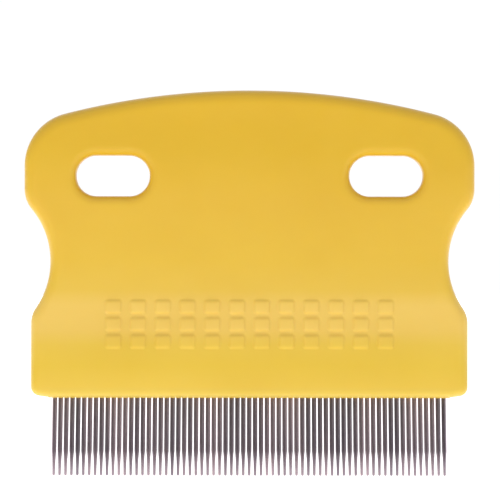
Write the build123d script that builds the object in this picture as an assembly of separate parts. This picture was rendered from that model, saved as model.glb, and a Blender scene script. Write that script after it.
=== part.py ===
from build123d import *
from math import sqrt, tan, radians
import os

# Flea comb: a moulded plastic handle, and in its lower face a strip that holds a row of steel pins.
# Millimetres. X runs along the pin row, Y through the thickness with the front at -Y, and Z from
# the pin tips up to the crown. The origin is the middle of the row of pin tips.

# Handle outline, seen from the front
handle_width = 65.0         # across the ears, the widest place
comb_height = 55.7          # from the pin tips to the crown
base_inset = 0.95           # how much narrower the base is than the ears, on each side
base_corner_rise = 0.35     # how far the lower edge rises from the end of the pin row to the corner
base_bend_radius = 6.0      # where the lower edge starts to rise
base_corner_radius = 1.3
waist_depth = 3.75          # how far each side is scooped in, from the widest place
waist_radius = 11.9
waist_rise = 19.6           # from the handle's lower edge up to the middle of the scoops
base_shoulder_radius = 3.9  # where a scoop runs out into the base
ear_radius = 4.5            # where a scoop runs out into the ear
crown_radius = 107.0        # the long arc along the top
crown_corner_radius = 7.7   # where that arc turns down into the ears
crown_turn = 38.0           # degrees: half the angle that it turns through there

# Thickness: half of it at each level, which is the same on the front and the back
base_half = 3.45            # at the lower edge
block_half = 3.8            # in the block below the pads
block_rise = 4.5            # from the handle's lower edge up to that level
neck_half = 3.6             # above the pads, a little thinner
neck_rise = 11.0
palm_half = 4.25            # at the fullest place, above the waist
palm_rise = 25.0
brow_half = 3.6             # above the slots
brow_drop = 8.0             # from the crown down to that level
crown_half = 3.0            # at the crown
edge_round = 1.2            # along the whole outer edge

# Slots for a hook, a peg or a cord
slot_length = 10.65
slot_width = 5.9
slot_spacing = 39.45        # from centre to centre
slot_drop = 12.35           # from the crown down to the slots' middle
slot_edge_round = 1.3

# Finger pads, on the front and the back
pad_columns = 12
pad_rows = 3
pad_length = 2.2            # along the row
pad_height = 2.0            # up the handle
pad_pitch_x = 3.575
pad_pitch_z = 2.5
pad_stand = 0.3             # how far a pad stands out of the face
pad_lift = 6.97             # from the handle's lower edge to the lowest pads' lower edge

# Pins
pin_exposed = 11.4          # how far they stand out of the handle's lower edge
pin_diameter = 0.7
pin_pitch = 0.852
pin_row_margin = 3.25       # from the side of the base to the outer pin's axis
pin_root = 7.5              # how deep a pin is set, above the handle's lower edge
pin_taper = 3.6             # length of the ground taper at the tip
pin_tip_diameter = 0.4
end_pin_lean = 0.9          # degrees: the row fans out a little, most at its ends
pin_groups = 34             # the pins are written as this many nodes, in order along the row

# Pin strip
strip_stand = 0.1           # its lower face stands this far out of the handle's lower edge
strip_end = 0.9             # how much of it is left beyond the outer pins' axes
strip_web = 4.2             # thickness between the handle's two walls
strip_foot = 5.2            # thickness of the wider foot that keys it into the handle
strip_foot_height = 1.8
strip_cover = 0.8           # how far it reaches above the pins' roots

# Levels and half widths that follow from those
lower_edge = pin_exposed
ear_x = handle_width / 2
base_x = ear_x - base_inset
waist_x = ear_x - waist_depth
waist_z = lower_edge + waist_rise
slot_z = comb_height - slot_drop
pad_middle_z = lower_edge + pad_lift + (pad_height + pad_pitch_z * (pad_rows - 1)) / 2
pin_gaps = int(2 * (base_x - pin_row_margin) / pin_pitch)
pin_count = pin_gaps + 1
row_x = pin_gaps * pin_pitch / 2
strip_x = row_x + strip_end
over = 1.0                  # how far a shape that only cuts another one runs past it
touch = 0.01                # how close an edge lies to the place where it is looked for
steep = 0.7                 # an edge that leans this much towards Y runs through the thickness


def through(shape):
    """What a flat shape in the XZ plane cuts or fills, right through the handle's thickness."""
    depth = palm_half + over
    return extrude(Pos(0, depth, 0) * shape, 2 * depth, dir=(0, -1, 0))


def scoop_reach(side_x):
    """Half the height of a waist scoop where it cuts a side that is at side_x."""
    return sqrt(waist_radius**2 - (waist_x + waist_radius - side_x) ** 2)


def outline():
    """The handle's front outline as a face in the XZ plane, with its corners rounded."""
    corner_z = lower_edge + base_corner_rise
    right = [(strip_x, lower_edge), (base_x, corner_z), (base_x, waist_z)]
    right += [(ear_x, waist_z), (ear_x, comb_height + over)]
    left = [(-x, z) for x, z in reversed(right)]
    crown = Plane.XZ * Pos(0, comb_height - crown_radius) * Circle(crown_radius)
    shape = (Plane.XZ * make_face(Polyline(*right, *left, close=True))) & crown
    for side in (-1, 1):
        shape -= Plane.XZ * Pos(side * (waist_x + waist_radius), waist_z) * Circle(waist_radius)

    # The ear's side, between the scoop and the crown, is shared by the two roundings at its ends
    scoop_top = waist_z + scoop_reach(ear_x)
    crown_side_z = comb_height - crown_radius + sqrt(crown_radius**2 - ear_x**2)
    side_length = crown_side_z - scoop_top
    corners = [
        (strip_x, lower_edge, base_bend_radius),
        (base_x, corner_z, base_corner_radius),
        (base_x, waist_z - scoop_reach(base_x), base_shoulder_radius),
        (ear_x, scoop_top, min(ear_radius, side_length / 2)),
        (ear_x, crown_side_z, min(crown_corner_radius, side_length / 2 / tan(radians(crown_turn)))),
    ]
    for x, z, radius in corners:
        for side in (-1, 1):
            corner = shape.vertices().sort_by_distance((side * x, 0, z))[0]
            shape = fillet(corner, radius)
    return shape


def slab(extra=0.0):
    """A slab as thick as the handle at each level, thicker by extra on each face, and taller than it."""
    levels = [
        (base_half, lower_edge - over),
        (base_half, lower_edge),
        (block_half, lower_edge + block_rise),
        (neck_half, lower_edge + neck_rise),
        (palm_half, lower_edge + palm_rise),
        (brow_half, comb_height - brow_drop),
        (crown_half, comb_height),
        (crown_half, comb_height + over),
    ]
    front = [(-half - extra, z) for half, z in levels]
    back = [(half + extra, z) for half, z in reversed(levels)]
    edges = Spline(*front) + Line(front[-1], back[0]) + Spline(*back) + Line(back[-1], front[0])
    half_length = ear_x + over
    return extrude(Plane.YZ.offset(-half_length) * make_face(edges), 2 * half_length)


def is_rim(edge):
    """True where the front or the back face meets what goes through the thickness."""
    return abs(edge.center().Y) > crown_half / 2 and abs(edge.tangent_at(0.5).Y) < steep


def is_slot_rim(edge):
    """True where a slot meets the front or the back face."""
    middle = edge.center()
    beside = abs(abs(middle.X) - slot_spacing / 2) < slot_length / 2 + touch
    level = abs(middle.Z - slot_z) < slot_width / 2 + touch
    return beside and level and is_rim(edge)


def pads():
    """The finger pads of both faces: each one goes right through, and follows the two faces."""
    prism = through(Plane.XZ * Rectangle(pad_length, pad_height))
    columns = [(i - (pad_columns - 1) / 2) * pad_pitch_x for i in range(pad_columns)]
    rows = [pad_middle_z + (j - (pad_rows - 1) / 2) * pad_pitch_z for j in range(pad_rows)]
    faces = slab(pad_stand)
    return [(Pos(x, 0, z) * prism) & faces for x in columns for z in rows]


def handle():
    """The one-piece moulding, still without the strip's pocket."""
    body = through(outline()) & slab()
    body = fillet([e for e in body.edges() if is_rim(e)], edge_round)
    slot = through(Plane.XZ * SlotOverall(slot_length, slot_width))
    body -= [Pos(side * slot_spacing / 2, 0, slot_z) * slot for side in (-1, 1)]
    body = fillet([e for e in body.edges() if is_slot_rim(e)], slot_edge_round)
    return body + pads()


def strip():
    """The bar that holds the pins, still without their holes. Its wider foot keeps it in the handle."""
    top = lower_edge + pin_root + strip_cover
    bottom = lower_edge - strip_stand
    web = Pos(0, 0, (top + bottom) / 2) * Box(2 * strip_x, strip_web, top - bottom)
    foot = Pos(0, 0, top - strip_foot_height / 2) * Box(2 * strip_x, strip_foot, strip_foot_height)
    return web + foot


def pin(index):
    """One pin, from its ground tip up to its root inside the strip."""
    radius = pin_diameter / 2
    tip = pin_tip_diameter / 2
    side = [(0, pin_root), (radius, pin_root), (radius, pin_taper - pin_exposed), (tip, tip - pin_exposed)]
    nose = RadiusArc((tip, tip - pin_exposed), (0, -pin_exposed), tip)
    axis = Line((0, -pin_exposed), (0, pin_root))
    shape = revolve(Plane.XZ * make_face(Polyline(*side) + nose + axis), Axis.Z)
    x = index * pin_pitch - row_x
    return Pos(x, 0, lower_edge) * Rot(0, -end_pin_lean * x / row_x, 0) * shape


pins = [pin(i) for i in range(pin_count)]
pin_strip = strip()
nodes = {"handle": handle() - pin_strip, "pin_strip": pin_strip - pins}
for group in range(pin_groups):
    first = group * pin_count // pin_groups
    last = (group + 1) * pin_count // pin_groups
    nodes[f"pins_{group + 1:02d}"] = Compound(pins[first:last])

os.makedirs("parts", exist_ok=True)
for name, shape in nodes.items():
    export_step(shape, f"parts/{name}.step")
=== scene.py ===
import math

import bpy
import bmesh
import numpy as np
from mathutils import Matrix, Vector
from mathutils.geometry import delaunay_2d_cdt


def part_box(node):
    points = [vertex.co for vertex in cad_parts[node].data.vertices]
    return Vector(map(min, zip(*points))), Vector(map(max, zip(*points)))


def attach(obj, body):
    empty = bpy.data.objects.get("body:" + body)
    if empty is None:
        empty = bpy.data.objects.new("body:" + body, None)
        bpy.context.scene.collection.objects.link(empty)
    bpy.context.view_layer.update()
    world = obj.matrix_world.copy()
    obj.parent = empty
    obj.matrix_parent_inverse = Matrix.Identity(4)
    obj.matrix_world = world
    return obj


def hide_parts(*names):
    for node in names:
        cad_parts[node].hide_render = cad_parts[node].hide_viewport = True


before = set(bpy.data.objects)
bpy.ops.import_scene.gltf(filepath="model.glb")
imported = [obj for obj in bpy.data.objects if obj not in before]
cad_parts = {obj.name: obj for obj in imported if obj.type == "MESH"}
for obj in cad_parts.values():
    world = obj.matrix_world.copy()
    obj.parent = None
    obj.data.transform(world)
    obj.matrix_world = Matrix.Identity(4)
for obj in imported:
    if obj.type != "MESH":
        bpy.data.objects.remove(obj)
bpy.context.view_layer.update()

MM = 0.001

# The shot. The comb stands on its pin tips on a white table in a white room, seen square from the
# front through a long lens, so that hardly anything of the slots' walls shows.
camera_distance = 1.5
framed_width = 72.35 * MM
framed_centre_x = 0.08 * MM
framed_centre_z = 32.67 * MM
camera_roll = math.radians(-0.08)

camera = bpy.data.objects.new("camera", bpy.data.cameras.new("camera"))
bpy.context.scene.collection.objects.link(camera)
bpy.context.scene.camera = camera
camera.data.sensor_width = 36.0
camera.data.lens = camera.data.sensor_width * camera_distance / framed_width
camera.data.clip_start = 0.01
camera.data.clip_end = 20.0
camera.location = (framed_centre_x, -camera_distance, framed_centre_z)
camera.rotation_euler = (math.radians(90), camera_roll, 0.0)

bpy.context.scene.view_settings.view_transform = "Standard"


# The table top: a wide sheet of white acrylic lit from below, which is why things on it throw almost
# no shadow and are lit softly from underneath.
table_half = 6.0


def mesh_object(name, verts, faces):
    mesh = bpy.data.meshes.new(name)
    mesh.from_pydata(verts, [], faces)
    piece = bpy.data.objects.new(name, mesh)
    bpy.context.scene.collection.objects.link(piece)
    return piece


def sheet(name, corners):
    return mesh_object(name, corners, [(0, 1, 2, 3)])


table = sheet("table", [(-table_half, -table_half, 0), (table_half, -table_half, 0),
                        (table_half, table_half, 0), (-table_half, table_half, 0)])
table_paint = bpy.data.materials.new("table_white")
table_paint.use_nodes = True
table_shader = table_paint.node_tree.nodes["Principled BSDF"]
table_shader.inputs["Base Color"].default_value = (0.8, 0.8, 0.8, 1)
table_shader.inputs["Roughness"].default_value = 0.9
table_shader.inputs["Specular IOR Level"].default_value = 0.1
table_shader.inputs["Emission Color"].default_value = (1, 1, 1, 1)
table_shader.inputs["Emission Strength"].default_value = 1.02
table.data.materials.append(table_paint)

# The room: white behind the comb, softly lit overhead, and dim on both sides and towards the
# camera, so that the steel has something dark to reflect. Past the edge of the table its floor is white.
world = bpy.data.worlds.new("white_room")
bpy.context.scene.world = world
world.use_nodes = True
room = world.node_tree
room_light = room.nodes["Background"]


def shade_by_direction(direction, offset, stops):
    """Brightness by how far a direction leans one way: 0 is fully against it, 1 fully along it."""
    look = room.nodes.new("ShaderNodeTexCoord")
    lean = room.nodes.new("ShaderNodeVectorMath")
    lean.operation = "DOT_PRODUCT"
    lean.inputs[1].default_value = direction
    shift = room.nodes.new("ShaderNodeMath")
    shift.inputs[1].default_value = offset
    ramp = room.nodes.new("ShaderNodeValToRGB")
    ramp.color_ramp.interpolation = "EASE"
    points = ramp.color_ramp.elements
    while len(points) < len(stops):
        points.new(0.5)
    for point, (place, bright) in zip(points, stops):
        point.position = place
        point.color = (bright, bright, bright, 1)
    room.links.new(look.outputs["Generated"], lean.inputs[0])
    room.links.new(lean.outputs["Value"], shift.inputs[0])
    room.links.new(shift.outputs[0], ramp.inputs[0])
    return ramp.outputs[0]


around = shade_by_direction((-0.05, -0.5, 0.0), 0.5, [
    (0.0, 1.0), (0.1, 1.0), (0.3, 0.6), (0.5, 0.5), (1.0, 0.5)])
overhead = shade_by_direction((0.0, 0.0, 1.0), 0.0, [(0.0, 1.0), (0.05, 1.0), (0.4, 0.97), (1.0, 1.25)])
past_table = shade_by_direction((0.0, 0.0, -100.0), 0.0, [(0.0, 0.0), (1.0, 1.0)])
shade = around
for blend, other in (("MULTIPLY", overhead), ("LIGHTEN", past_table)):
    mix = room.nodes.new("ShaderNodeMix")
    mix.data_type = "RGBA"
    mix.blend_type = blend
    mix.inputs[0].default_value = 1.0
    room.links.new(shade, mix.inputs[6])
    room.links.new(other, mix.inputs[7])
    shade = mix.outputs[2]
room.links.new(shade, room_light.inputs["Color"])
room_light.inputs["Strength"].default_value = 1.02


def softbox(name, place, target, size, power):
    """A square studio light at place, turned to face target."""
    light = bpy.data.lights.new(name, "AREA")
    light.shape = "SQUARE"
    light.size = size
    light.energy = power
    box = bpy.data.objects.new(name, light)
    bpy.context.scene.collection.objects.link(box)
    box.location = place
    box.rotation_mode = "QUATERNION"
    box.rotation_quaternion = (Vector(target) - Vector(place)).to_track_quat("-Z", "Y")
    box.visible_camera = box.visible_glossy = False
    return box


# The key light stands low in front, on the left, and is aimed at the lower half of the comb
softbox("key_light", place=(-0.22, -0.65, 0.03), target=(0, 0, 0.02), size=0.25, power=1.2)

# Black cards stand in front and on the left, and one lies on the table before the comb. They don't show,
# and only polished things mirror them: they give the steel its dark side, and keep a white haze off the
# plastic.
card_left, card_right = -1.0, 0.4
card_near, card_far = -0.006, -0.95
card_floor, card_top = 0.001, 0.3
cards = [
    [(card_left, card_near, card_floor), (card_right, card_near, card_floor),
     (card_right, card_far, card_floor), (card_left, card_far, card_floor)],
    [(card_left, card_far, card_floor), (card_right, card_far, card_floor),
     (card_right, card_far, card_top), (card_left, card_far, card_top)],
    [(card_left, card_near, card_floor), (card_left, card_far, card_floor),
     (card_left, card_far, card_top), (card_left, card_near, card_top)],
]
black = bpy.data.materials.new("black_card")
black.use_nodes = True
black.node_tree.nodes["Principled BSDF"].inputs["Base Color"].default_value = (0.1, 0.1, 0.1, 1)
for number, corners in enumerate(cards, 1):
    card = sheet(f"black_card_{number}", corners)
    card.data.materials.append(black)
    card.visible_camera = card.visible_diffuse = card.visible_shadow = False


# The pins: straight wires of stainless steel, drawn, cut to length and ground to a taper with a round
# nose. They stand in one close row, which fans out a little towards its ends.
pin_count = 67
pin_pitch = 0.852 * MM
pin_radius = 0.35 * MM
pin_tip_radius = 0.2 * MM
pin_taper = 3.6 * MM
pin_root = 7.5 * MM
pin_root_chamfer = 0.06 * MM
end_pin_lean = math.radians(0.9)
pin_sides = 28
taper_steps = (0.0, 0.12, 0.3, 0.5, 0.75)
nose_steps = 5
row_half = (pin_count - 1) / 2 * pin_pitch

steel_line_depth = 0.006 * MM
steel_roughness = (0.22, 0.42)

lower_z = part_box("handle")[0].z      # the handle's lower edge, where the pins come out
pin_exposed = lower_z
pin_groups = sorted(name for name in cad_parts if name.startswith("pins_"))


def pin_ring(index, rise, radius):
    """Points round a pin, rise above the handle's lower edge along the pin's own axis."""
    x = index * pin_pitch - row_half
    lean = end_pin_lean * x / row_half
    turn = np.arange(pin_sides) * 2 * math.pi / pin_sides
    across = radius * np.cos(turn)
    return np.column_stack([x + across * math.cos(lean) - rise * math.sin(lean), radius * np.sin(turn),
                            lower_z + across * math.sin(lean) + rise * math.cos(lean)])


def pin_profile():
    """A pin's side from its root down to the start of its round nose: pairs of rise and radius."""
    taper_start = pin_taper - pin_exposed
    taper_end = pin_tip_radius - pin_exposed
    side = [(pin_root, pin_radius - pin_root_chamfer), (pin_root - pin_root_chamfer, pin_radius),
            (pin_root / 2, pin_radius), (0.0, pin_radius), (taper_start / 2, pin_radius)]
    for part in taper_steps:
        # the taper narrows quickest where it starts, and hardly at all close to the nose
        narrowing = 1 - (1 - part) ** 2
        side.append((taper_start + (taper_end - taper_start) * part,
                     pin_radius + (pin_tip_radius - pin_radius) * narrowing))
    for turn in np.linspace(0, math.pi / 2, nose_steps + 1)[:-1]:
        side.append((taper_end - pin_tip_radius * math.sin(turn), pin_tip_radius * math.cos(turn)))
    return side


def build_pins(name, first, last):
    """The pins from first up to last, without last itself, as one object."""
    verts, faces = [], []
    profile = pin_profile()
    for index in range(first, last):
        start = len(verts)
        for rise, radius in profile:
            verts.extend(pin_ring(index, rise, radius))
        root, nose = len(verts), len(verts) + 1
        verts.append(pin_ring(index, pin_root, 0.0)[0])
        verts.append(pin_ring(index, -pin_exposed, 0.0)[0])
        last_ring = start + (len(profile) - 1) * pin_sides
        for i in range(pin_sides):
            j = (i + 1) % pin_sides
            faces.append((start + i, start + j, root))
            faces.append((last_ring + j, last_ring + i, nose))
            for ring in range(start, last_ring, pin_sides):
                faces.append((ring + j, ring + i, ring + pin_sides + i, ring + pin_sides + j))
    pins = mesh_object(name, [tuple(v) for v in verts], faces)
    pins.data.shade_smooth()
    return pins


def add_node(material, kind, **settings):
    """A node in a material. A setting that isn't one of the node's own is the value of an input."""
    node = material.node_tree.nodes.new(kind)
    for name, value in settings.items():
        if hasattr(node, name):
            setattr(node, name, value)
        else:
            node.inputs[name].default_value = value
    return node


def stretched_noise(material, place, stretch, detail):
    """Noise with as many lumps per metre along each axis as stretch says."""
    link = material.node_tree.links.new
    mapping = add_node(material, "ShaderNodeMapping", Scale=stretch)
    noise = add_node(material, "ShaderNodeTexNoise", Scale=1.0, Detail=detail)
    link(place, mapping.inputs["Vector"])
    link(mapping.outputs["Vector"], noise.inputs["Vector"])
    return noise.outputs["Fac"]


def colour_ramp(material, value, stops):
    """Colours along a value: pairs of position and colour."""
    ramp = add_node(material, "ShaderNodeValToRGB")
    points = ramp.color_ramp.elements
    while len(points) < len(stops):
        points.new(0.5)
    for point, (position, colour) in zip(points, stops):
        point.position = position
        point.color = (*colour, 1)
    material.node_tree.links.new(value, ramp.inputs["Fac"])
    return ramp.outputs["Color"]


def spread(material, value, start, end, low=0.0, high=1.0, interpolation="LINEAR"):
    """Turns a value's range from start to end into one from low to high."""
    node = add_node(material, "ShaderNodeMapRange", interpolation_type=interpolation)
    for name, number in (("From Min", start), ("From Max", end), ("To Min", low), ("To Max", high)):
        node.inputs[name].default_value = number
    material.node_tree.links.new(value, node.inputs["Value"])
    return node.outputs["Result"]


def tinted(material, colour, tint):
    """One colour multiplied by another."""
    node = add_node(material, "ShaderNodeMix", data_type="RGBA", blend_type="MULTIPLY")
    node.inputs[0].default_value = 1.0
    material.node_tree.links.new(colour, node.inputs[6])
    material.node_tree.links.new(tint, node.inputs[7])
    return node.outputs[2]


def bump(material, height, depth, over=None):
    """A surface relief as deep as depth, laid over another one."""
    node = add_node(material, "ShaderNodeBump", Distance=depth, Strength=1.0)
    material.node_tree.links.new(height, node.inputs["Height"])
    if over:
        material.node_tree.links.new(over, node.inputs["Normal"])
    return node.outputs["Normal"]


def drawn_steel(name):
    """Drawn wire: fine lines along it, ground rings round its taper, and each pin a little different."""
    steel = bpy.data.materials.new(name)
    steel.use_nodes = True
    shader = steel.node_tree.nodes["Principled BSDF"]
    link = steel.node_tree.links.new
    place = add_node(steel, "ShaderNodeTexCoord").outputs["Object"]
    level = add_node(steel, "ShaderNodeSeparateXYZ")
    link(place, level.inputs[0])

    # Painted light along each pin: a warm painted reflection of the yellow plastic makes it warm and
    # brightest close to the plastic, and painted shade makes it cooler and darker down to the ground tip
    height = spread(steel, level.outputs["Z"], 0.0, pin_exposed)
    along = colour_ramp(steel, height, [
        (0.0, (0.36, 0.29, 0.34)), (0.3, (0.40, 0.325, 0.375)), (0.5, (0.55, 0.45, 0.50)),
        (1.0, (0.60, 0.49, 0.49))])
    lumps_per_pin = 0.43
    each_pin = stretched_noise(steel, place, (lumps_per_pin / pin_pitch, 0.0, 40.0), 0.0)
    shade = colour_ramp(steel, each_pin, [(0.3, (0.76, 0.78, 0.82)), (0.7, (1.2, 1.15, 1.15))])
    link(tinted(steel, along, shade), shader.inputs["Base Color"])

    # Lines along the drawn shaft give way to rings round the ground tip
    drawn = stretched_noise(steel, place, (14000.0, 14000.0, 150.0), 2.0)
    ground = stretched_noise(steel, place, (900.0, 900.0, 16000.0), 2.0)
    is_ground = spread(steel, level.outputs["Z"], pin_taper * 1.1, pin_taper * 0.9,
                       interpolation="SMOOTHSTEP")
    relief = add_node(steel, "ShaderNodeMix", data_type="FLOAT")
    link(is_ground, relief.inputs[0])
    link(drawn, relief.inputs[2])
    link(ground, relief.inputs[3])
    link(bump(steel, relief.outputs[0], steel_line_depth), shader.inputs["Normal"])
    link(spread(steel, relief.outputs[0], 0.0, 1.0, *steel_roughness), shader.inputs["Roughness"])
    shader.inputs["Metallic"].default_value = 1.0
    return steel


steel = drawn_steel("pin_steel")
for group, node in enumerate(pin_groups):
    first = group * pin_count // len(pin_groups)
    last = (group + 1) * pin_count // len(pin_groups)
    wires = build_pins("wire_" + node, first, last)
    wires.data.materials.append(steel)
    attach(wires, "root")
    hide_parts(node)


# The pin strip: a bar of the same plastic, moulded round the roots of the pins before the handle is
# moulded round it. Its wider foot keys it in, and only its lower face shows, just below the handle.
strip_low, strip_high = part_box("pin_strip")
strip_half_width = 2.1 * MM
strip_foot_height = 1.8 * MM
strip_edge_round = 0.07 * MM
strip_grain = 0.003 * MM
plastic_roughness = (0.27, 0.4)


def build_strip():
    """A bar with a wider foot at its top, and a blind bore up its lower face for each pin."""
    verts, faces = [], []

    def add(points):
        first = len(verts)
        verts.extend(tuple(p) for p in points)
        return first

    def belt(half_length, half_width, z):
        return add([(-half_length, -half_width, z), (half_length, -half_width, z),
                    (half_length, half_width, z), (-half_length, half_width, z)])

    length, foot = strip_high.x, strip_high.y
    foot_z = strip_high.z - strip_foot_height
    belts = [belt(length - strip_edge_round, strip_half_width - strip_edge_round, strip_low.z),
             belt(length, strip_half_width, strip_low.z + strip_edge_round),
             belt(length, strip_half_width, foot_z),
             belt(length, foot, foot_z),
             belt(length, foot, strip_high.z)]
    for a, b in zip(belts[:-1], belts[1:]):
        for i in range(4):
            j = (i + 1) % 4
            faces.append((a + i, a + j, b + j, b + i))
    top = belts[-1]
    faces.append((top, top + 1, top + 2, top + 3))

    # The lower face round the bores, and then each bore's wall and end
    mouths = []
    for index in range(pin_count):
        mouth = add(pin_ring(index, strip_low.z - lower_z, pin_radius))
        end = add(pin_ring(index, pin_root, pin_radius))
        mouths.append(mouth)
        for i in range(pin_sides):
            j = (i + 1) % pin_sides
            faces.append((mouth + j, mouth + i, end + i, end + j))
        faces.append(tuple(end + i for i in reversed(range(pin_sides))))
    rims = [[belts[0] + i for i in range(4)]] + [[m + i for i in range(pin_sides)] for m in mouths]
    flat, borders, ids, owners = [], [], [], []
    for owner, rim in enumerate(rims):
        first = len(flat)
        flat.extend(Vector((verts[v][0] / MM, verts[v][1] / MM)) for v in rim)
        borders.extend((first + i, first + (i + 1) % len(rim)) for i in range(len(rim)))
        ids.extend(rim)
        owners.extend([owner] * len(rim))
    _, _, triangles, source, _, _ = delaunay_2d_cdt(flat, borders, [], 1, 1e-6)
    for triangle in triangles:
        corners = [source[i][0] for i in triangle]
        # a triangle between three points of one mouth would close that bore
        if len({owners[i] for i in corners}) > 1:
            faces.append(tuple(ids[i] for i in reversed(corners)))
    return verts, faces


def moulded_plastic(name, low_z, high_z, colours_and_painted_light, grain_depth):
    """Satin moulded plastic, coloured by height with light and shade painted into that colour, with a slow
    drift and the fine grain of the mould.
    """
    plastic = bpy.data.materials.new(name)
    plastic.use_nodes = True
    shader = plastic.node_tree.nodes["Principled BSDF"]
    link = plastic.node_tree.links.new
    place = add_node(plastic, "ShaderNodeTexCoord").outputs["Object"]
    level = add_node(plastic, "ShaderNodeSeparateXYZ")
    link(place, level.inputs[0])
    height = spread(plastic, level.outputs["Z"], low_z, high_z)
    # the colours by height: the plastic's own colour and, on the handle, the light and shade painted into
    # it
    colour_and_painted_light_by_height = colour_ramp(plastic, height, colours_and_painted_light)
    drift = stretched_noise(plastic, place, (70.0, 70.0, 110.0), 3.0)
    uneven = colour_ramp(plastic, drift, [(0.3, (0.98, 0.97, 0.9)), (0.7, (1.02, 1.03, 1.1))])
    link(tinted(plastic, colour_and_painted_light_by_height, uneven), shader.inputs["Base Color"])
    grain = stretched_noise(plastic, place, (5200.0, 5200.0, 5200.0), 2.0)
    ripple = stretched_noise(plastic, place, (420.0, 420.0, 420.0), 1.0)
    waves = bump(plastic, ripple, grain_depth * 1.5)
    link(bump(plastic, grain, grain_depth, over=waves), shader.inputs["Normal"])
    link(spread(plastic, ripple, 0.0, 1.0, *plastic_roughness), shader.inputs["Roughness"])
    shader.inputs["Subsurface Weight"].default_value = 0.12
    shader.inputs["Subsurface Radius"].default_value = (1.0, 0.6, 0.15)
    shader.inputs["Subsurface Scale"].default_value = 1.2 * MM
    return plastic


strip_bar = mesh_object("pin_strip_bar", *build_strip())
strip_bar.data.materials.append(moulded_plastic("strip_plastic", strip_low.z, strip_high.z, [
    (0.0, (0.75, 0.48, 0.056)), (1.0, (0.74, 0.46, 0.048))], strip_grain))
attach(strip_bar, "root")
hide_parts("pin_strip")


# The handle: one injection moulding in yellow plastic, with two slots right through it and rows of
# finger pads on both faces. It is moulded round the pin strip, so its lower edge has a pocket for it.
handle_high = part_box("handle")[1]
ear_x = handle_high.x
crown_z = handle_high.z

base_x = ear_x - 0.95 * MM
base_corner_rise = 0.35 * MM
base_corner_radius = 1.3 * MM
waist_x = ear_x - 3.75 * MM
waist_radius = 11.9 * MM
waist_z = lower_z + 19.6 * MM
base_shoulder_radius = 3.9 * MM
ear_radius = 4.5 * MM
crown_radius = 107.0 * MM
crown_corner_radius = 7.7 * MM

slot_x = 19.725 * MM
slot_z = crown_z - 12.35 * MM
slot_half_length = 5.325 * MM
slot_half_width = 2.95 * MM
slot_round = 1.35 * MM

# The outer edge's rounding at the base, up the sides and on the crown, and where it grows between them
base_round = 1.1 * MM
side_round = 1.7 * MM
crown_round = 1.8 * MM
side_round_rise = 6.0 * MM
crown_round_start = 30.0 * MM
crown_round_rise = 12.0 * MM

pad_columns, pad_rows = 12, 3
pad_half_length = 1.1 * MM
pad_half_height = 0.93 * MM
pad_pitch_x = 3.575 * MM
pad_pitch_z = 2.5 * MM
pad_stand = 0.33 * MM
pad_middle_z = lower_z + 10.54 * MM
pad_upper_slope = 0.55 * MM
pad_lower_slope = 0.38 * MM
pad_corner_round = 0.35 * MM
pad_pillow = 0.42

# Half the thickness at each level above the lower edge
thickness_levels = np.array([0.0, 2.0, 4.5, 8.0, 11.0, 13.5, 16.5, 20.0, 24.0, 27.0, 31.0, 36.2,
                             39.2, 41.2, 44.2]) * MM
half_thicknesses = np.array([3.45, 3.68, 3.8, 3.7, 3.62, 3.74, 3.98, 4.15, 4.25, 4.25, 4.1, 3.6,
                             3.24, 3.08, 3.0]) * MM

# The parting line: how far it stands out, at each of its distances from the middle
seam_rows = np.array([0.0, 0.06, 0.14]) * MM
seam_stand = np.array([0.05, 0.035, 0.0]) * MM
slot_seam = 0.6              # the slots' line is that much of the outer one
seam_reach = 0.06 * MM       # a little more than the line stands out

pocket_half_length = strip_high.x
pocket_half_width = strip_half_width

outline_step = 0.33 * MM
face_step = 0.6 * MM
finest_step = 0.03 * MM
rim_clearance = 0.3 * MM     # between the rims' points and the face's own
round_steps = 9
handle_grain = 0.005 * MM


def arc(centre, radius, start, end):
    """Points on an arc in the XZ plane, from one angle in degrees to another, without the last one."""
    turn = math.radians(end - start)
    count = max(2, math.ceil(abs(turn) * radius / outline_step))
    angles = math.radians(start) + turn * np.arange(count) / count
    return np.column_stack([centre[0] + radius * np.cos(angles), centre[1] + radius * np.sin(angles)])


def straight(start, end):
    """Points on a straight line in the XZ plane, without the last one."""
    start, end = np.array(start), np.array(end)
    count = max(1, math.ceil(np.linalg.norm(end - start) / outline_step))
    return start + (end - start) * (np.arange(count) / count)[:, None]


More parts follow.
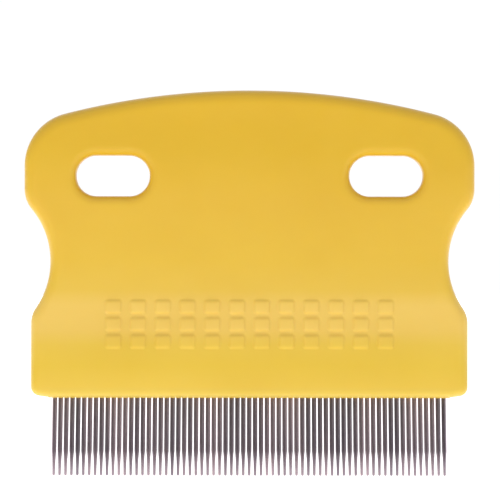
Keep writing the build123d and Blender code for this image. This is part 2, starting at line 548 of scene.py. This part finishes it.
def handle_outline():
    """The handle's outline, clockwise as the front is seen, from the middle of the crown."""
    crown_centre_z = crown_z - crown_radius
    corner_x = ear_x - crown_corner_radius
    corner_z = crown_centre_z + math.sqrt((crown_radius - crown_corner_radius) ** 2 - corner_x**2)
    crown_end = math.degrees(math.atan2(corner_z - crown_centre_z, corner_x))

    scoop_x = waist_x + waist_radius
    ear_centre_x = ear_x - ear_radius
    ear_rise = math.sqrt((waist_radius + ear_radius) ** 2 - (scoop_x - ear_centre_x) ** 2)
    ear_turn = math.degrees(math.atan2(ear_rise, scoop_x - ear_centre_x))
    shoulder_x = base_x - base_shoulder_radius
    shoulder_drop = math.sqrt((waist_radius + base_shoulder_radius) ** 2 - (scoop_x - shoulder_x) ** 2)
    shoulder_turn = math.degrees(math.atan2(shoulder_drop, scoop_x - shoulder_x))
    slope = math.atan2(base_corner_rise, base_x - pocket_half_length)
    corner_low_x = base_x - base_corner_radius
    corner_low_z = lower_z + base_corner_rise + base_corner_radius * (
        1 / math.cos(slope) - math.tan(slope))

    right = np.vstack([
        arc((0, crown_centre_z), crown_radius, 90, crown_end),
        arc((corner_x, corner_z), crown_corner_radius, crown_end, 0),
        straight((ear_x, corner_z), (ear_x, waist_z + ear_rise)),
        arc((ear_centre_x, waist_z + ear_rise), ear_radius, 0, -ear_turn),
        arc((scoop_x, waist_z), waist_radius, 180 - ear_turn, 180 + shoulder_turn),
        arc((shoulder_x, waist_z - shoulder_drop), base_shoulder_radius, shoulder_turn, 0),
        straight((base_x, waist_z - shoulder_drop), (base_x, corner_low_z)),
        arc((corner_low_x, corner_low_z), base_corner_radius, 0, math.degrees(slope) - 90),
        straight((corner_low_x + base_corner_radius * math.sin(slope),
                  corner_low_z - base_corner_radius * math.cos(slope)), (pocket_half_length, lower_z)),
        straight((pocket_half_length, lower_z), (0, lower_z)),
    ])
    left = right[1:][::-1] * (-1, 1)
    return np.vstack([right, [(0, lower_z)], left])


def slot_outline(centre_x):
    """A slot's outline, anticlockwise as the front is seen, so that its outside is the handle."""
    reach = slot_half_length - slot_half_width
    right, left = centre_x + reach, centre_x - reach
    top, bottom = slot_z + slot_half_width, slot_z - slot_half_width
    return np.vstack([
        arc((right, slot_z), slot_half_width, -90, 90),
        straight((right, top), (left, top)),
        arc((left, slot_z), slot_half_width, 90, 270),
        straight((left, bottom), (right, bottom)),
    ])


def away_from_plastic(loop):
    """Unit normals of a closed loop, on its left as it runs."""
    along = np.roll(loop, -1, axis=0) - np.roll(loop, 1, axis=0)
    normal = np.column_stack([-along[:, 1], along[:, 0]])
    return normal / np.linalg.norm(normal, axis=1)[:, None]


def smooth(t):
    """A soft step: 0 up to t = 0, and 1 from t = 1."""
    t = np.clip(t, 0, 1)
    return t * t * (3 - 2 * t)


def half_thickness(z):
    """The handle's half thickness without its pads: full in the palm, thinner at the neck and crown."""
    return curve_through(z - lower_z, thickness_levels, half_thicknesses)


def curve_through(t, knots, values):
    """A smooth curve through values at knots, for every t."""
    slopes = np.gradient(values, knots)
    i = np.clip(np.searchsorted(knots, t) - 1, 0, len(knots) - 2)
    width = knots[i + 1] - knots[i]
    u = np.clip((t - knots[i]) / width, 0, 1)
    start, end = values[i], values[i + 1]
    return ((2 * u**3 - 3 * u**2 + 1) * start + (u**3 - 2 * u**2 + u) * width * slopes[i]
            + (3 * u**2 - 2 * u**3) * end + (u**3 - u**2) * width * slopes[i + 1])


def edge_radius(z):
    """The rounding of the outer edge: tight along the base, wider up the sides, widest on the crown."""
    up_side = smooth((z - lower_z) / side_round_rise)
    up_crown = smooth((z - lower_z - crown_round_start) / crown_round_rise)
    return base_round + (side_round - base_round) * up_side + (crown_round - side_round) * up_crown


def pad_height(x, z):
    """How far a pad stands out of the face: a low pillow with round corners and long soft sides."""
    def from_pad(t, pitch, count):
        middle = (count - 1) / 2
        return t - (np.clip(np.round(t / pitch + middle), 0, count - 1) - middle) * pitch

    across = from_pad(x, pad_pitch_x, pad_columns)
    up = from_pad(z - pad_middle_z, pad_pitch_z, pad_rows)
    past_side = np.abs(across) - pad_half_length + pad_corner_round
    past_end = np.abs(up) - pad_half_height + pad_corner_round
    outside = np.hypot(np.maximum(past_side, 0), np.maximum(past_end, 0)) - pad_corner_round
    outside += np.minimum(np.maximum(past_side, past_end), 0)
    slope = pad_lower_slope + (pad_upper_slope - pad_lower_slope) * smooth(0.5 + up / pad_half_height / 2)
    pillow = 1 - pad_pillow * ((across / pad_half_length) ** 2 + (up / pad_half_height) ** 2) / 2
    return pad_stand * pillow * smooth(0.5 - outside / slope)


def face_height(x, z):
    return half_thickness(z) + pad_height(x, z)


def lines_across(low, high, pitch, count, half, middle):
    """Where mesh lines run across a face: close together at the pads' edges, and even elsewhere."""
    edge_offsets = np.array([-0.5, -0.34, -0.22, -0.1, 0.0, 0.1, 0.2, 0.3]) * MM
    marks = []
    for i in range(count):
        centre = middle + (i - (count - 1) / 2) * pitch
        for side in (-1, 1):
            marks.extend(centre + side * (half + edge_offsets))
        marks.extend(centre + np.array([-0.3, 0.3]) * half)
    marks = np.array(sorted(marks))
    below = np.arange(marks[0] - face_step, low, -face_step)
    above = np.arange(marks[-1] + face_step, high, face_step)
    between = []
    for a, b in zip(marks[:-1], marks[1:]):
        pieces = int((b - a) / face_step)
        between.extend(a + (b - a) * np.arange(1, pieces + 1) / (pieces + 1))
    marks = np.sort(np.concatenate([marks, below, above, between]))
    keep = np.concatenate([[True], np.diff(marks) > finest_step])
    return marks[keep]


def is_inside(points, loop):
    """Which points lie inside a closed loop: those from which a line to the right crosses it an odd
    number of times."""
    x, z = points[:, 0][:, None], points[:, 1][:, None]
    x0, z0 = loop[:, 0], loop[:, 1]
    x1, z1 = np.roll(x0, -1), np.roll(z0, -1)
    crosses = (z0 > z) != (z1 > z)
    slope = (x1 - x0) / np.where(z1 == z0, 1e-12, z1 - z0)
    return (np.sum(crosses & (x < x0 + (z - z0) * slope), axis=1) % 2) == 1


def gap_to(points, loop):
    """Distance from each point to the nearest of a loop's points."""
    return np.min(np.hypot(points[:, 0][:, None] - loop[:, 0], points[:, 1][:, None] - loop[:, 1]), axis=1)


def build_handle():
    """The moulding with its slots and pads, still without the strip's pocket."""
    verts, faces = [], []

    def add(x, y, z):
        first = len(verts)
        verts.extend(zip(x, y, z))
        return first

    def join(a, b, count, flip):
        for i in range(count):
            j = (i + 1) % count
            quad = (a + i, a + j, b + j, b + i)
            faces.append(quad[::-1] if flip else quad)

    turns = np.linspace(0, math.pi / 2, round_steps + 1)
    inner_loops = []

    def wall(loop, outward, radius, seam):
        """One wall right through the handle, with its rounded edges on the front and the back."""
        count = len(loop)
        flat = half_thickness(loop[:, 1]) - radius
        rows = []
        # one row of points runs along the pocket's edge, in the lower edge
        share = pocket_half_width / (half_thickness(np.array([lower_z]))[0] - base_round)
        for y, stand in zip(seam_rows, seam_stand * seam):
            rows.append((np.full(count, y), loop + outward * stand))
        for part in (share, (1 + share) / 2):
            rows.append((flat * part, loop))
        for turn in turns[:-1]:
            inset = (radius * (1 - math.cos(turn)))[:, None]
            points = loop - outward * inset
            rise = half_thickness(points[:, 1]) - radius * (1 - math.sin(turn))
            rows.append((rise, points))
        points = loop - outward * radius[:, None]
        rows.append((face_height(points[:, 0], points[:, 1]), points))
        ids = {}
        for side in (-1, 1):
            for k, (y, points) in enumerate(rows):
                if k == 0 and side == 1:
                    ids[side, 0] = ids[-1, 0]
                    continue
                ids[side, k] = add(points[:, 0], side * y, points[:, 1])
            for k in range(len(rows) - 1):
                join(ids[side, k], ids[side, k + 1], count, side == 1)
        inner_loops.append((rows[-1][1], {side: ids[side, len(rows) - 1] for side in (-1, 1)}))

    outer = handle_outline()
    wall(outer, away_from_plastic(outer), edge_radius(outer[:, 1]), 1.0)
    for side in (-1, 1):
        slot = slot_outline(side * slot_x)
        wall(slot, away_from_plastic(slot), np.full(len(slot), slot_round), slot_seam)

    # The two faces share one flat layout: the loops above as borders, and a grid between them
    loops = [points for points, _ in inner_loops]
    xs = lines_across(-ear_x, ear_x, pad_pitch_x, pad_columns, pad_half_length, 0.0)
    zs = lines_across(lower_z, crown_z, pad_pitch_z, pad_rows, pad_half_height, pad_middle_z)
    grid = np.array([(x, z) for x in xs for z in zs])
    keep = is_inside(grid, loops[0]) & (gap_to(grid, loops[0]) > rim_clearance)
    for slot in loops[1:]:
        keep &= ~is_inside(grid, slot) & (gap_to(grid, slot) > rim_clearance)
    grid = grid[keep]

    scale = 1 / MM
    flat_points = [Vector(p * scale) for loop in loops for p in loop] + [Vector(p * scale) for p in grid]
    borders, first = [], 0
    for loop in loops:
        borders.extend((first + i, first + (i + 1) % len(loop)) for i in range(len(loop)))
        first += len(loop)
    flat_x_z = np.array(flat_points) * MM
    _, _, triangles, source, _, _ = delaunay_2d_cdt(flat_points, borders, [], 1, 1e-6)
    triangles = [[source[i][0] for i in triangle] for triangle in triangles]
    middles = flat_x_z[np.array(triangles)].mean(axis=1)
    in_slot = is_inside(middles, loops[1]) | is_inside(middles, loops[2])
    for side in (-1, 1):
        rim_ids = [ids[side] + i for points, ids in inner_loops for i in range(len(points))]
        first_grid = add(grid[:, 0], side * face_height(grid[:, 0], grid[:, 1]), grid[:, 1])
        rim_ids.extend(first_grid + i for i in range(len(grid)))
        for triangle, open_air in zip(triangles, in_slot):
            corners = [rim_ids[i] for i in triangle]
            if not open_air:
                faces.append(corners if side == -1 else corners[::-1])
    return verts, faces


handle = mesh_object("handle_moulding", *build_handle())
handle.data.validate()

# The pocket for the pin strip is opened in the lower edge and sunk into the handle
work = bmesh.new()
work.from_mesh(handle.data)
floor_faces = [f for f in work.faces
               if abs(f.calc_center_median().z - lower_z) < seam_reach
               and abs(f.calc_center_median().x) < pocket_half_length
               and abs(f.calc_center_median().y) < pocket_half_width]
bmesh.ops.delete(work, geom=floor_faces, context="FACES")
work.verts.ensure_lookup_table()
mouth = [e for e in work.edges if e.is_boundary]
foot_z = strip_high.z - strip_foot_height
for widening, z in ((1.0, foot_z), (strip_high.y / strip_half_width, foot_z), (1.0, strip_high.z)):
    sunk = bmesh.ops.extrude_edge_only(work, edges=mouth)["geom"]
    for v in [g for g in sunk if isinstance(g, bmesh.types.BMVert)]:
        v.co.y *= widening
        v.co.z = z
    mouth = [g for g in sunk if isinstance(g, bmesh.types.BMEdge)]
bmesh.ops.contextual_create(work, geom=mouth)
bmesh.ops.join_triangles(work, faces=[f for f in work.faces if len(f.verts) == 3],
                         angle_face_threshold=math.radians(25), angle_shape_threshold=math.radians(40))
bmesh.ops.recalc_face_normals(work, faces=work.faces)
work.to_mesh(handle.data)
work.free()
handle.data.shade_smooth()
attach(handle, "root")
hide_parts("handle")

# The plastic's yellow with light and shade painted into it by height: painted shade makes it deepest in
# the crown, a painted sheen makes it palest over the finger pads, and painted light from below makes it
# bright down to the lower edge
handle.data.materials.append(moulded_plastic("handle_plastic", lower_z, crown_z, [
    (0.0, (0.70, 0.51, 0.08)), (0.035, (0.77, 0.52, 0.053)), (0.1, (0.75, 0.505, 0.042)),
    (0.17, (0.75, 0.505, 0.056)), (0.22, (0.78, 0.52, 0.095)), (0.3, (0.78, 0.52, 0.095)),
    (0.35, (0.735, 0.478, 0.05)), (0.45, (0.735, 0.465, 0.036)), (0.65, (0.74, 0.455, 0.036)),
    (0.8, (0.72, 0.44, 0.024)), (1.0, (0.715, 0.428, 0.021))], handle_grain))
